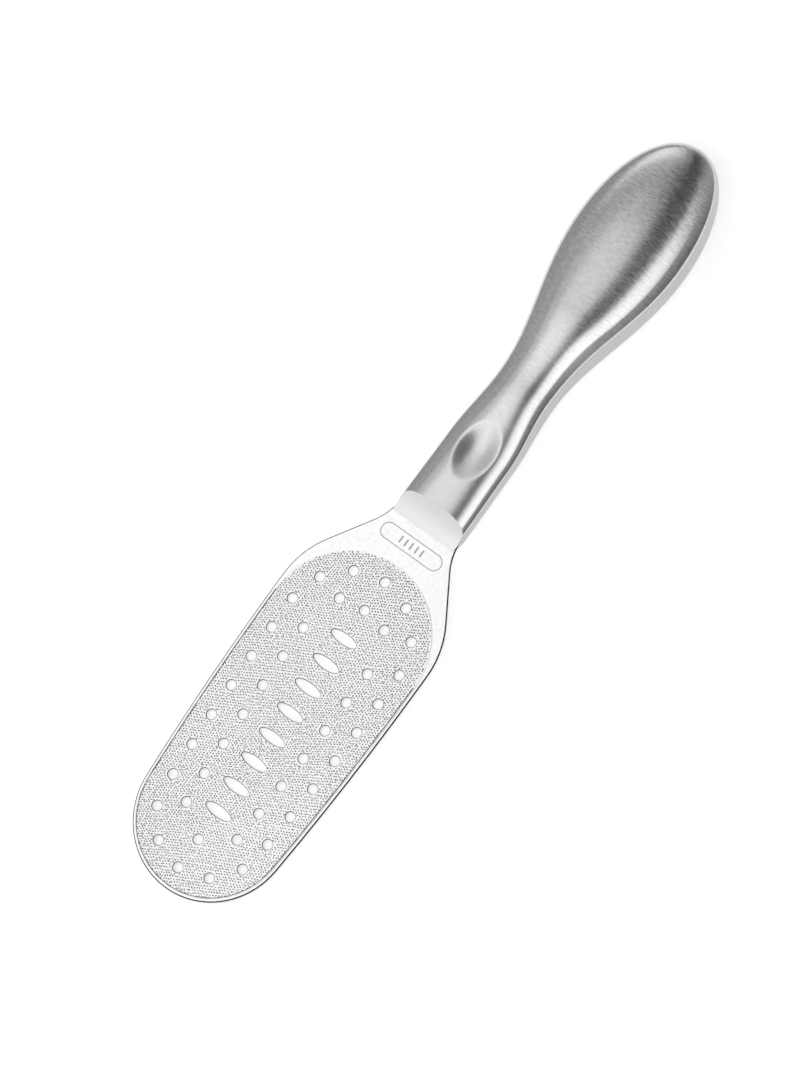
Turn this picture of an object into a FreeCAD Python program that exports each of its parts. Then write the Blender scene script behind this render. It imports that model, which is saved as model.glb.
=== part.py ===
import FreeCAD, Part
import math
import os

import Sketcher
from FreeCAD import Placement, Rotation, Vector

# Foot file: a perforated steel paddle, faced with a coarse and a fine file sheet, in a hollow steel handle.
# It is drawn in its own plane: the tip at x = 0, the handle towards +X, the coarse face towards +Z.
# At the end every piece is turned together to the way the tool lies on a table.

# Driving dimensions, in millimetres and degrees
SIZES = {
    # Paddle outline
    "tip_radius": 24.4,
    "centre_distance": 62.8,
    "paddle_flare": 2.35,
    "shoulder_run": 5.0,
    "shoulder_radius": 28.0,
    "shoulder_angle": 33.0,
    "neck_fillet_radius": 17.0,
    "neck_half_width": 11.2,
    "neck_run": 1.1,
    "rim_chamfer": 0.35,
    # Layers of the paddle
    "core_thickness": 1.6,
    "film_thickness": 0.1,
    "sheet_thickness": 0.25,
    "sheet_margin": 0.95,
    # Perforation
    "hole_diameter": 3.0,
    "ring_inset": 6.9,
    "oval_length": 9.0,
    "oval_width": 3.1,
    "oval_start": 2.1,
    "inner_row_gap": 5.1,
    "hole_chamfer": 0.2,
    # Grit mark engraved on the neck
    "badge_setback": 10.8,
    "badge_length": 21.8,
    "badge_height": 5.1,
    "badge_line": 0.3,
    "badge_depth": 0.12,
    "stroke_length": 2.4,
    "stroke_width": 0.55,
    "stroke_pitch": 1.9,
    # Tang
    "tang_length": 34.0,
    "tang_side_gap": 1.0,
    "key_hole_diameter": 5.0,
    "key_hole_setback": 10.0,
    # Handle stations, from the mouth to the end
    "mouth_to_neck": 22.0,
    "neck_to_waist": 22.7,
    "waist_to_bulb": 51.3,
    "bulb_to_end": 33.5,
    # Handle half widths
    "grip_neck_half_width": 11.0,
    "waist_half_width": 9.2,
    "bulb_half_width": 17.9,
    # Height of the upright side wall above the middle plane
    "mouth_wall": 1.7,
    "neck_wall": 1.7,
    "waist_wall": 2.6,
    "swell_wall": 3.7,
    "bulb_wall": 3.0,
    # Rise of the rounded crown above the side wall
    "mouth_rise": 2.4,
    "neck_rise": 2.7,
    "waist_rise": 3.2,
    "swell_rise": 4.0,
    "bulb_rise": 5.0,
    # Pressed shells
    "shell_wall": 1.0,
    "ramp_radius": 18.0,
    "ramp_reach": 7.27,
    "nose_land": 0.12,
    "dimple_length": 18.0,
    "dimple_width": 12.0,
    "dimple_depth": 0.85,
    # Inside the handle
    "potting_cover": 4.0,
    "braze_width": 0.8,
    "braze_height": 1.0,
}
RING_GAP_COUNT = 12
INNER_HOLE_NUMBERS = (1, 3, 4, 5, 6, 7, 8, 9)
STAGGER = 0.5
OVAL_COUNT = 8
COARSE_STROKES = 5
FINE_STROKES = 9
GRIP_SECTIONS = 11
END_SECTIONS = 7
END_FULLNESS = 2.1
END_CUT = 0.995
SHOULDER_SHARE = 0.75
TOUCHING = 1e-6

doc = FreeCAD.newDocument("FootFile")
sheet = doc.addObject("Spreadsheet::Sheet", "Sizes")
for row, (alias, value) in enumerate(SIZES.items(), start=1):
    sheet.set(f"A{row}", alias.replace("_", " "))
    sheet.set(f"B{row}", str(value))
    sheet.setAlias(f"B{row}", alias)
doc.recompute()


def size(alias):
    return float(sheet.get(alias))


# Places that follow from the driving dimensions
tip_radius = size("tip_radius")
heel_x = tip_radius + size("centre_distance")
heel_half_width = tip_radius + size("paddle_flare")
side_radius = (
    size("centre_distance") ** 2 + heel_half_width**2 - tip_radius**2
) / (2 * size("paddle_flare"))
side_centre = Vector(heel_x, heel_half_width - side_radius, 0)
side_angle = math.atan2(-side_centre.y, tip_radius - heel_x)

slope = math.radians(size("shoulder_angle"))
shoulder_x = heel_x + size("shoulder_run")
shoulder_centre = Vector(shoulder_x, heel_half_width - size("shoulder_radius"), 0)
slope_start = shoulder_centre + size("shoulder_radius") * Vector(math.sin(slope), math.cos(slope), 0)
fillet_top = size("neck_half_width") + size("neck_fillet_radius") * (1 - math.cos(slope))
slope_end = Vector(slope_start.x + (slope_start.y - fillet_top) / math.tan(slope), fillet_top, 0)
neck_x = slope_end.x + size("neck_fillet_radius") * math.sin(slope)
mouth_x = neck_x + size("neck_run")

half_core = size("core_thickness") / 2
half_stack = half_core + size("film_thickness") + size("sheet_thickness")
tang_half_width = (
    min(size("grip_neck_half_width"), size("waist_half_width"))
    - size("shell_wall")
    - size("tang_side_gap")
)
tang_end_x = mouth_x + size("tang_length")
potting_end_x = tang_end_x + size("potting_cover")

grip_neck_x = mouth_x + size("mouth_to_neck")
waist_x = grip_neck_x + size("neck_to_waist")
bulb_x = waist_x + size("waist_to_bulb")
swell_x = (waist_x + bulb_x) / 2
tool_length = bulb_x + size("bulb_to_end")

ramp_x = mouth_x - size("ramp_reach")
nose_x = ramp_x + math.sqrt(2 * size("ramp_radius") * size("nose_land"))


def origin_plane(body, role):
    return next(feature for feature in body.Origin.OriginFeatures if feature.Role == role)


def new_sketch(body, name, height=None):
    """A sketch on the body's middle plane, lifted by an expression of the sheet's cells if one is given."""
    sketch = body.newObject("Sketcher::SketchObject", name)
    sketch.AttachmentSupport = [(origin_plane(body, "XY_Plane"), "")]
    sketch.MapMode = "FlatFace"
    if height:
        sketch.setExpression("AttachmentOffset.Base.z", height)
    return sketch


def arc(centre, radius, start, end):
    """Counterclockwise arc between two angles in radians."""
    return Part.ArcOfCircle(Part.Circle(centre, Vector(0, 0, 1), radius), start, end)


def bind(sketch, expression, *constraint):
    """Adds a dimension to a sketch and ties it to the sheet."""
    index = sketch.addConstraint(Sketcher.Constraint(*constraint))
    sketch.setExpression(f"Constraints[{index}]", expression)


START, END, CENTRE = range(1, 4)
ORIGIN = (-1, 1)
X_AXIS = -1


def draw_tip_and_side(sketch, inset, inset_term):
    """The round tip (curve 0) and the slightly bowed side (curve 1) of half a paddle outline."""
    tip_centre = Vector(tip_radius, 0, 0)
    sketch.addGeometry(arc(tip_centre, tip_radius - inset, side_angle, math.pi))
    sketch.addGeometry(arc(side_centre, side_radius - inset, math.pi / 2, side_angle))
    sketch.addConstraint(Sketcher.Constraint("Tangent", 0, START, 1, END))
    sketch.addConstraint(Sketcher.Constraint("PointOnObject", 0, CENTRE, X_AXIS))
    sketch.addConstraint(Sketcher.Constraint("PointOnObject", 0, END, X_AXIS))
    bind(sketch, f"Sizes.tip_radius{inset_term}", "Radius", 0, tip_radius - inset)
    bind(sketch, "Sizes.tip_radius", "DistanceX", *ORIGIN, 0, CENTRE, tip_radius)
    bind(sketch, "Sizes.tip_radius + Sizes.centre_distance", "DistanceX", *ORIGIN, 1, START, heel_x)
    bind(
        sketch,
        f"Sizes.tip_radius + Sizes.paddle_flare{inset_term}",
        "DistanceY", *ORIGIN, 1, START, heel_half_width - inset,
    )


def close_along_axis(sketch, last_curve, last_end):
    """Closes half an outline with a line along the tool's axis, back to the tip."""
    start = sketch.getPoint(last_curve, last_end)
    tip = sketch.getPoint(0, END)
    line = sketch.addGeometry(Part.LineSegment(start, tip))
    sketch.addConstraint(Sketcher.Constraint("Coincident", last_curve, last_end, line, START))
    sketch.addConstraint(Sketcher.Constraint("Coincident", line, END, 0, END))


def draw_plate_outline(sketch):
    """Half the blade: tip, side, shoulder, sloping flank, neck and tang."""
    draw_tip_and_side(sketch, 0.0, "")
    neck = size("neck_half_width")
    run_end = Vector(shoulder_x, heel_half_width, 0)
    right_angle = math.pi / 2
    curves = [
        Part.LineSegment(Vector(heel_x, heel_half_width, 0), run_end),
        arc(shoulder_centre, size("shoulder_radius"), right_angle - slope, right_angle),
        Part.LineSegment(slope_end, slope_start),
        arc(
            Vector(neck_x, neck + size("neck_fillet_radius"), 0),
            size("neck_fillet_radius"), 3 * right_angle - slope, 3 * right_angle,
        ),
        Part.LineSegment(Vector(neck_x, neck, 0), Vector(mouth_x, neck, 0)),
        Part.LineSegment(Vector(mouth_x, neck, 0), Vector(mouth_x, tang_half_width, 0)),
        Part.LineSegment(Vector(mouth_x, tang_half_width, 0), Vector(tang_end_x, tang_half_width, 0)),
        Part.LineSegment(Vector(tang_end_x, tang_half_width, 0), Vector(tang_end_x, 0, 0)),
    ]
    run, shoulder, flank, fillet, neck_line, step, tang, tang_end = sketch.addGeometry(curves)
    smooth_joints = [
        (1, START, run, START),
        (run, END, shoulder, END),
        (shoulder, START, flank, END),
        (flank, START, fillet, START),
        (fillet, END, neck_line, START),
    ]
    for joint in smooth_joints:
        sketch.addConstraint(Sketcher.Constraint("Tangent", *joint))
    for before, after in ((neck_line, step), (step, tang), (tang, tang_end)):
        sketch.addConstraint(Sketcher.Constraint("Coincident", before, END, after, START))
    for line in (run, neck_line, tang):
        sketch.addConstraint(Sketcher.Constraint("Horizontal", line))
    for line in (step, tang_end):
        sketch.addConstraint(Sketcher.Constraint("Vertical", line))
    sketch.addConstraint(Sketcher.Constraint("PointOnObject", tang_end, END, X_AXIS))
    bind(sketch, "Sizes.shoulder_run", "DistanceX", run, START, run, END, size("shoulder_run"))
    bind(sketch, "Sizes.shoulder_radius", "Radius", shoulder, size("shoulder_radius"))
    bind(sketch, "180 deg - Sizes.shoulder_angle * 1 deg", "Angle", flank, math.pi - slope)
    bind(sketch, "Sizes.neck_fillet_radius", "Radius", fillet, size("neck_fillet_radius"))
    bind(sketch, "Sizes.neck_half_width", "DistanceY", *ORIGIN, neck_line, START, neck)
    bind(sketch, "Sizes.neck_run", "DistanceX", neck_line, START, neck_line, END, size("neck_run"))
    bind(
        sketch,
        "min(Sizes.grip_neck_half_width; Sizes.waist_half_width) - Sizes.shell_wall - Sizes.tang_side_gap",
        "DistanceY", *ORIGIN, tang, START, tang_half_width,
    )
    bind(sketch, "Sizes.tang_length", "DistanceX", tang, START, tang, END, size("tang_length"))
    close_along_axis(sketch, tang_end, END)


def draw_sheet_outline(sketch):
    """Half a file sheet: the paddle's tip and side moved in by the margin, and a round heel."""
    inset = size("sheet_margin")
    draw_tip_and_side(sketch, inset, " - Sizes.sheet_margin")
    heel = sketch.addGeometry(arc(Vector(heel_x, 0, 0), heel_half_width - inset, 0, math.pi / 2))
    sketch.addConstraint(Sketcher.Constraint("Tangent", heel, END, 1, START))
    sketch.addConstraint(Sketcher.Constraint("PointOnObject", heel, START, X_AXIS))
    sketch.addConstraint(Sketcher.Constraint("PointOnObject", heel, CENTRE, X_AXIS))
    close_along_axis(sketch, heel, START)


def ring_point(gaps, moved_in=0.0):
    """A point on half the ring of holes, so many hole gaps from the heel, moved in from the ring."""
    inset = size("ring_inset")
    heel_radius = heel_half_width - inset
    tip_ring_radius = tip_radius - inset
    side_turn = side_angle - math.pi / 2
    heel_run = heel_radius * math.pi / 2
    side_run = (side_radius - inset) * side_turn
    tip_run = tip_ring_radius * (math.pi - side_angle)
    distance = gaps * (heel_run + side_run + tip_run) / RING_GAP_COUNT
    if distance <= heel_run:
        centre, radius, turn = Vector(heel_x, 0, 0), heel_radius, distance / heel_radius
    elif distance <= heel_run + side_run:
        centre, radius = side_centre, side_radius - inset
        turn = math.pi / 2 + (distance - heel_run) / radius
    else:
        centre, radius = Vector(tip_radius, 0, 0), tip_ring_radius
        turn = side_angle + (distance - heel_run - side_run) / radius
    return centre + (radius - moved_in) * Vector(math.cos(turn), math.sin(turn), 0)


def oval_centres():
    first = tip_radius + size("oval_start")
    pitch = (heel_x - first) / (OVAL_COUNT - 1)
    return [Vector(first + number * pitch, 0, 0) for number in range(OVAL_COUNT)]


def round_hole_centres():
    """The ring, the staggered inner row beside the ovals' ends and one hole past each end of their row."""
    inner_row_radius = size("oval_length") / 2 + size("inner_row_gap")
    moved_in = tip_radius - size("ring_inset") - inner_row_radius
    upper = [ring_point(gap) for gap in range(1, RING_GAP_COUNT)]
    upper += [ring_point(gap + STAGGER, moved_in) for gap in INNER_HOLE_NUMBERS]
    lower = [Vector(point.x, -point.y, 0) for point in upper]
    ovals = oval_centres()
    heel_end, tip_end = ring_point(0), ring_point(RING_GAP_COUNT)
    tip_end.y = 0.0
    on_axis = [heel_end, (heel_end + ovals[-1]) / 2, (tip_end + ovals[0]) / 2, tip_end]
    return upper + lower + on_axis


def slot_curves(centre, length, width, turned=0.0):
    """The two lines and two half circles of a slot, its length along Y before it is turned."""
    radius = width / 2
    reach = length / 2 - radius
    along = Vector(math.sin(turned), math.cos(turned), 0)
    across = Vector(along.y, -along.x, 0)
    far, near = centre + reach * along, centre - reach * along
    heading = math.atan2(along.y, along.x)
    return [
        arc(far, radius, heading - math.pi / 2, heading + math.pi / 2),
        Part.LineSegment(far - radius * across, near - radius * across),
        arc(near, radius, heading + math.pi / 2, heading + 3 * math.pi / 2),
        Part.LineSegment(near + radius * across, far + radius * across),
    ]


def draw_oval(sketch, centre):
    """An ellipse with its long axis across the tool."""
    far = centre + Vector(0, size("oval_length") / 2, 0)
    side = centre + Vector(size("oval_width") / 2, 0, 0)
    sketch.addGeometry(Part.Ellipse(far, side, centre))


def draw_slot(sketch, *slot):
    first = sketch.addGeometry(slot_curves(*slot))[0]
    for step in range(4):
        following = first + (step + 1) % 4
        sketch.addConstraint(Sketcher.Constraint("Tangent", first + step, END, following, START))


def draw_perforation(sketch):
    """Every round hole, all tied to one diameter, and the row of ovals along the axis."""
    radius = size("hole_diameter") / 2
    circles = [Part.Circle(centre, Vector(0, 0, 1), radius) for centre in round_hole_centres()]
    first, *others = sketch.addGeometry(circles)
    bind(sketch, "Sizes.hole_diameter", "Diameter", first, size("hole_diameter"))
    for other in others:
        sketch.addConstraint(Sketcher.Constraint("Equal", first, other))
    for centre in oval_centres():
        draw_oval(sketch, centre)


def draw_badge(sketch, stroke_count):
    """A thin pill-shaped line round a row of short strokes that stand for the grit."""
    centre = Vector(mouth_x - size("badge_setback"), 0, 0)
    length, height, line = size("badge_length"), size("badge_height"), size("badge_line")
    draw_slot(sketch, centre, length, height)
    draw_slot(sketch, centre, length - 2 * line, height - 2 * line)
    for number in range(stroke_count):
        offset = (number - (stroke_count - 1) / 2) * size("stroke_pitch")
        stroke_centre = centre + Vector(0, offset, 0)
        draw_slot(sketch, stroke_centre, size("stroke_length"), size("stroke_width"), math.pi / 2)


def draw_key_holes(sketch):
    """Two holes in the tang that the potting grips."""
    setback = size("key_hole_setback")
    for x in (mouth_x + setback, tang_end_x - setback):
        hole = Part.Circle(Vector(x, 0, 0), Vector(0, 0, 1), size("key_hole_diameter") / 2)
        circle = sketch.addGeometry(hole)
        bind(sketch, "Sizes.key_hole_diameter", "Diameter", circle, size("key_hole_diameter"))


def pocket(body, sketch, depth, upward=False):
    """Cuts a sketch into the body and makes sure that it removed metal."""
    doc.recompute()
    before = body.Shape.Volume
    cut = body.newObject("PartDesign::Pocket", sketch.Name + "_cut")
    cut.Profile = sketch
    cut.Reversed = upward
    cut.setExpression("Length", depth)
    doc.recompute()
    if body.Shape.Volume >= before:
        raise RuntimeError(f"{sketch.Name} cut nothing")
    return cut


def layer_body(name, draw, bottom, thickness):
    """A flat layer of the paddle: half its outline padded upwards from the bottom, then mirrored."""
    body = doc.addObject("PartDesign::Body", name)
    outline = new_sketch(body, name + "_outline", bottom)
    draw(outline)
    pad = body.newObject("PartDesign::Pad", name + "_pad")
    pad.Profile = outline
    pad.setExpression("Length", thickness)
    mirror = body.newObject("PartDesign::Mirrored", name + "_mirror")
    mirror.Originals = [pad]
    mirror.MirrorPlane = (origin_plane(body, "XZ_Plane"), [""])
    body.Tip = mirror
    doc.recompute()
    return body


def perforate(body, top, thickness):
    holes = new_sketch(body, body.Name + "_holes", top)
    draw_perforation(holes)
    pocket(body, holes, thickness)


def chamfer_edges(body, edges, width):
    sharp = body.Tip
    chamfer = body.newObject("PartDesign::Chamfer", f"{body.Name}_{width}")
    chamfer.Base = (sharp, edges)
    chamfer.setExpression("Size", f"Sizes.{width}")
    doc.recompute()


def chamfer_rim(body):
    """Breaks both edges of the blade's outline, from the tip to the neck."""
    rim = [
        f"Edge{number}"
        for number, edge in enumerate(body.Shape.Edges, start=1)
        if abs(abs(edge.CenterOfMass.z) - half_core) < TOUCHING and edge.BoundBox.XMax < neck_x + TOUCHING
    ]
    chamfer_edges(body, rim, "rim_chamfer")


def chamfer_holes(body, face_height):
    """Breaks the edges of the holes in a file sheet's outer face."""
    longest = max(size("oval_length"), size("hole_diameter"))
    rims = [
        f"Edge{number}"
        for number, edge in enumerate(body.Shape.Edges, start=1)
        if abs(edge.CenterOfMass.z - face_height) < TOUCHING and edge.BoundBox.DiagonalLength < 2 * longest
    ]
    chamfer_edges(body, rims, "hole_chamfer")


def make_blade_plate():
    """The perforated core with its engraved grit marks and the tang that the handle hides."""
    top = "Sizes.core_thickness / 2"
    body = layer_body("blade_plate", draw_plate_outline, "-" + top, "Sizes.core_thickness")
    chamfer_rim(body)
    perforate(body, top, "Sizes.core_thickness")
    key_holes = new_sketch(body, "key_holes", top)
    draw_key_holes(key_holes)
    pocket(body, key_holes, "Sizes.core_thickness")
    for side, height, strokes in (("coarse", top, COARSE_STROKES), ("fine", "-" + top, FINE_STROKES)):
        badge = new_sketch(body, side + "_badge", height)
        draw_badge(badge, strokes)
        pocket(body, badge, "Sizes.badge_depth", upward=side == "fine")
    return body


def make_layer(name, bottom, thickness):
    body = layer_body(name, draw_sheet_outline, bottom, thickness)
    perforate(body, f"{bottom} + {thickness}", thickness)
    return body


def blend(x, stations):
    """A smooth profile through stations of position and height, level at each of them."""
    for (x0, y0), (x1, y1) in zip(stations, stations[1:]):
        if x <= x1:
            share = max(0.0, (x - x0) / (x1 - x0))
            return y0 + (y1 - y0) * (1 - math.cos(math.pi * share)) / 2
    return stations[-1][1]


def end_scale(x, inset):
    """Shrinks the bulb's section towards the handle's round end."""
    share = max(0.0, (x - bulb_x) / (size("bulb_to_end") - inset))
    return (1 - share**END_FULLNESS) ** (1 / END_FULLNESS)


def grip_profile(x, inset):
    """Half width, side wall and crown rise of the handle at x, for the outside or moved in from it."""
    widths = [
        (mouth_x, size("neck_half_width")),
        (grip_neck_x, size("grip_neck_half_width")),
        (waist_x, size("waist_half_width")),
        (bulb_x, size("bulb_half_width")),
    ]
    stations = (mouth_x, grip_neck_x, waist_x, swell_x, bulb_x)
    places = ("mouth", "neck", "waist", "swell", "bulb")
    walls = [(station, size(place + "_wall")) for station, place in zip(stations, places)]
    rises = [(station, size(place + "_rise")) for station, place in zip(stations, places)]
    scale = end_scale(x, inset)
    half_width = (blend(x, widths) - inset) * scale
    wall = (blend(x, walls) - inset / 2) * scale
    rise = (blend(x, rises) - inset / 2) * scale
    return half_width, wall, rise


def grip_section(x, inset):
    """Upper half of the handle's section: side walls, rounded shoulders and a crown, all tangent."""
    half_width, wall, rise = grip_profile(x, inset)
    shoulder = SHOULDER_SHARE * rise
    reach = half_width - shoulder
    crown = (reach**2 + rise**2 - shoulder**2) / (2 * (rise - shoulder))
    crown_low = wall + rise - crown
    lean = math.atan2(reach, wall - crown_low)
    foot, corner = Vector(x, half_width, 0), Vector(x, half_width, wall)
    joint = Vector(x, crown * math.sin(lean), crown_low + crown * math.cos(lean))
    middle = (lean + math.pi / 2) / 2
    bend = Vector(x, reach + shoulder * math.sin(middle), wall + shoulder * math.cos(middle))
    top = Vector(x, 0, wall + rise)

    def mirrored(point):
        return Vector(point.x, -point.y, point.z)

    edges = [
        Part.LineSegment(mirrored(foot), foot),
        Part.LineSegment(foot, corner),
        Part.Arc(corner, bend, joint),
        Part.Arc(joint, top, mirrored(joint)),
        Part.Arc(mirrored(joint), mirrored(bend), mirrored(corner)),
        Part.LineSegment(mirrored(corner), mirrored(foot)),
    ]
    return Part.Wire([edge.toShape() for edge in edges])


def grip_form(name, start_x, inset):
    """A solid through sections of the upper half of the handle, from start_x to its round end."""
    grip = [start_x + (bulb_x - start_x) * step / GRIP_SECTIONS for step in range(GRIP_SECTIONS)]
    end_run = size("bulb_to_end") - inset
    quarter = math.asin(END_CUT)
    end = [bulb_x + end_run * math.sin(quarter * step / END_SECTIONS) for step in range(END_SECTIONS + 1)]
    form = doc.addObject("Part::Feature", name)
    form.Shape = Part.makeLoft([grip_section(x, inset) for x in grip + end], True, False)
    return form


def part_object(kind, name, base, **expressions):
    """A Part primitive at a place, with its sizes tied to the sheet."""
    primitive = doc.addObject("Part::" + kind, name)
    for quantity, expression in expressions.items():
        primitive.setExpression(quantity, expression)
    primitive.Placement = base
    return primitive


def at(x, y, z, rotation=None):
    return Placement(Vector(x, y, z), rotation or Rotation())


def cut(name, base, *tools):
    """Cuts the tools from the base one after another."""
    for number, tool in enumerate(tools, start=1):
        last = number == len(tools)
        result = doc.addObject("Part::Cut", name if last else f"{name}_step_{number}")
        result.Base = base
        result.Tool = tool
        base = result
    return base


def common(name, base, tool):
    result = doc.addObject("Part::Common", name)
    result.Base = base
    result.Tool = tool
    return result


def mirrored_in_plane(name, source):
    mirror = doc.addObject("Part::Mirroring", name)
    mirror.Source = source
    mirror.Normal = Vector(0, 0, 1)
    return mirror


def both_halves(name, upper):
    fusion = doc.addObject("Part::Fuse", name)
    fusion.Base = upper
    fusion.Tool = mirrored_in_plane(name + "_lower", upper)
    fusion.Refine = True
    return fusion


def ramp_cylinder(name, radius):
    """The round scoop that runs from the blade's face up to the crown, across the tool."""
    across = Rotation(Vector(1, 0, 0), 90)
    width = 2 * heel_half_width
    place = at(ramp_x, width / 2, half_core + size("ramp_radius"), across)
    return part_object(
        "Cylinder", name, place, Radius=radius, Height="2 * (Sizes.tip_radius + Sizes.paddle_flare)"
    )


def dimple_ellipsoid(name, grown):
    """The thumb dimple's ellipsoid, centred above the crown by twice the depth that it presses in."""
    lift = 2
    depth_axis = f"{1 + lift} * Sizes.dimple_depth{grown}"
    spread = 1 / math.sqrt(1 - (lift / (1 + lift)) ** 2)
    crown = size("neck_wall") + size("neck_rise")
    place = at(grip_neck_x, 0, crown + lift * size("dimple_depth"))
    return part_object(
        "Ellipsoid", name, place,
        Radius1=depth_axis,
        Radius2=f"{spread} * Sizes.dimple_length / 2{grown}",
        Radius3=f"{spread} * Sizes.dimple_width / 2{grown}",
    )


def slab(name, x0, x1, half_width, z0, z1):
    box = doc.addObject("Part::Box", name)
    box.Length, box.Width, box.Height = x1 - x0, 2 * half_width, z1 - z0
    box.Placement = at(x0, -half_width, z0)
    return box


def make_handle(blade):
    """Two pressed shells, the potting that holds the tang and the braze inside their seam."""
    wall = size("shell_wall")
    inside_x = mouth_x + wall
    outside = grip_form("grip_outside", nose_x, 0.0)
    room = grip_form("grip_room", inside_x, wall)
    cavity = cut(
        "grip_cavity", room,
        ramp_cylinder("ramp_underside", "Sizes.ramp_radius + Sizes.shell_wall"),
        dimple_ellipsoid("dimple_underside", " + Sizes.shell_wall"),
    )
    below = -2 * half_core
    rebate = slab("neck_rebate", nose_x - wall, mouth_x, heel_half_width, below, half_core)
    passage = slab("tang_passage", mouth_x, inside_x, tang_half_width, below, half_core)
    front = cut(
        "front_handle_shell", outside, cavity,
        ramp_cylinder("ramp", "Sizes.ramp_radius"), dimple_ellipsoid("dimple", ""), rebate, passage,
    )
    back = mirrored_in_plane("back_handle_shell", front)

    whole_cavity = both_halves("whole_cavity", cavity)
    reach = size("bulb_half_width") + size("bulb_rise") + size("bulb_wall")
    neck_block = slab("neck_block", mouth_x, potting_end_x, reach, -reach, reach)
    potting = cut("tang_potting", common("potting_block", whole_cavity, neck_block), blade)

    half_braze = size("braze_height") / 2
    seam_layer = slab("seam_layer", potting_end_x, tool_length, reach, -half_braze, half_braze)
    core = both_halves("braze_core", grip_form("braze_inside", inside_x, wall + size("braze_width")))
    braze = cut("seam_braze", common("seam_strip", whole_cavity, seam_layer), core)
    return [front, back, potting, braze]


def resting_place(parts):
    """Turns the tool until the fine sheet's tip and the bulb's underside both touch the table."""
    margin = size("sheet_margin")
    samples = 400
    steepest = 0.0
    for step in range(samples):
        x = waist_x + (bulb_x + size("bulb_to_end") / 2 - waist_x) * step / samples
        _, wall, rise = grip_profile(x, 0.0)
        steepest = max(steepest, math.atan2(wall + rise - half_stack, x - margin))
    turn = Rotation(Vector(0, 1, 0), -math.degrees(steepest))
    whole = Part.makeCompound([part.Shape for part in parts])
    whole.Placement = Placement(Vector(0, 0, 0), turn)
    box = whole.optimalBoundingBox()
    return Placement(Vector(-(box.XMin + box.XMax) / 2, 0, -box.ZMin), turn)


blade_plate = make_blade_plate()
film, leaf, face = "Sizes.film_thickness", "Sizes.sheet_thickness", "Sizes.core_thickness / 2"
layers = [
    make_layer("coarse_bond_film", face, film),
    make_layer("coarse_file_sheet", f"{face} + {film}", leaf),
    make_layer("fine_bond_film", f"-{face} - {film}", film),
    make_layer("fine_file_sheet", f"-{face} - {film} - {leaf}", leaf),
]
for layer, face_height in ((layers[1], half_stack), (layers[3], -half_stack)):
    chamfer_holes(layer, face_height)
parts = [blade_plate] + layers + make_handle(blade_plate)
doc.recompute()

for item in doc.Objects:
    if "Invalid" in item.State or "Error" in item.State:
        raise RuntimeError(f"{item.Label} failed: {item.State}")
for part in parts:
    if part.Shape.isNull() or not part.Shape.isValid():
        raise RuntimeError(f"{part.Label} has no valid shape")

on_table = resting_place(parts)
os.makedirs("parts", exist_ok=True)
for part in parts:
    part.Placement = on_table
    part.Shape.exportStep(f"parts/{part.Label}.step")
    print(part.Label, "solids", len(part.Shape.Solids), "volume", round(part.Shape.Volume, 1))
print("turned", round(math.degrees(on_table.Rotation.Angle), 3), "degrees, moved", on_table.Base)
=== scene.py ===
"""Looks of a foot file: a perforated steel paddle with file teeth and a brushed, hollow handle."""
import math
import random

import bmesh
import bpy
from mathutils import Matrix, Vector


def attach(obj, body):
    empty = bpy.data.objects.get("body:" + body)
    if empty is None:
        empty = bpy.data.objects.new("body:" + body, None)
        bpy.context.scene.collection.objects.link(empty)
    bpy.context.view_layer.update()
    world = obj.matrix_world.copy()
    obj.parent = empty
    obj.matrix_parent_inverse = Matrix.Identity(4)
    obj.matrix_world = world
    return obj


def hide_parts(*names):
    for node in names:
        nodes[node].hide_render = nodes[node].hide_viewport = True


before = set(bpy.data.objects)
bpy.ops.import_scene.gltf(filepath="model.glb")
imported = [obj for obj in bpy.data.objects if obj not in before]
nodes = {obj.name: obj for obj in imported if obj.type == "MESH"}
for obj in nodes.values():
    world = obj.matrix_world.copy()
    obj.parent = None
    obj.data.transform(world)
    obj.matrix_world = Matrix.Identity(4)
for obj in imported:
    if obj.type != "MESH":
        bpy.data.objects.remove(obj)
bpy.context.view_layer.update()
MM = 0.001

# Sizes are in mm in the tool's own frame: tip at x = 0, handle towards +x, coarse face up, z = 0 midway
FRONT = 1
BACK = -1

# Paddle: a round tip, a wider round heel, and between them one large arc on each side
TIP_RADIUS = 24.4
HEEL_X = 87.2
HEEL_HALF_WIDTH = 26.75
SHEET_MARGIN = 0.95
HALF_CORE = 0.8
HALF_STACK = 1.15
CENTRE_DISTANCE = HEEL_X - TIP_RADIUS
SIDE_RADIUS = CENTRE_DISTANCE**2 + HEEL_HALF_WIDTH**2 - TIP_RADIUS**2
SIDE_RADIUS /= 2 * (HEEL_HALF_WIDTH - TIP_RADIUS)
SIDE_CENTRE = (HEEL_X, HEEL_HALF_WIDTH - SIDE_RADIUS)
SIDE_ANGLE = math.atan2(-SIDE_CENTRE[1], TIP_RADIUS - HEEL_X)

# Holes: a ring of round ones inside the edge, a staggered row inside the ring, and ovals on the axis
HOLE_RADIUS = 1.5
HOLE_CHAMFER = 0.2
RING_INSET = 6.9
RING_GAPS = 12
INNER_ROW_INSET = 7.9
INNER_ROW_GAPS = (1, 3, 4, 5, 6, 7, 8, 9)
STAGGER = 0.5
OVAL_COUNT = 8
OVAL_START = 2.1
OVAL_HALF_LENGTH = 4.5
OVAL_HALF_WIDTH = 1.55

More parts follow.
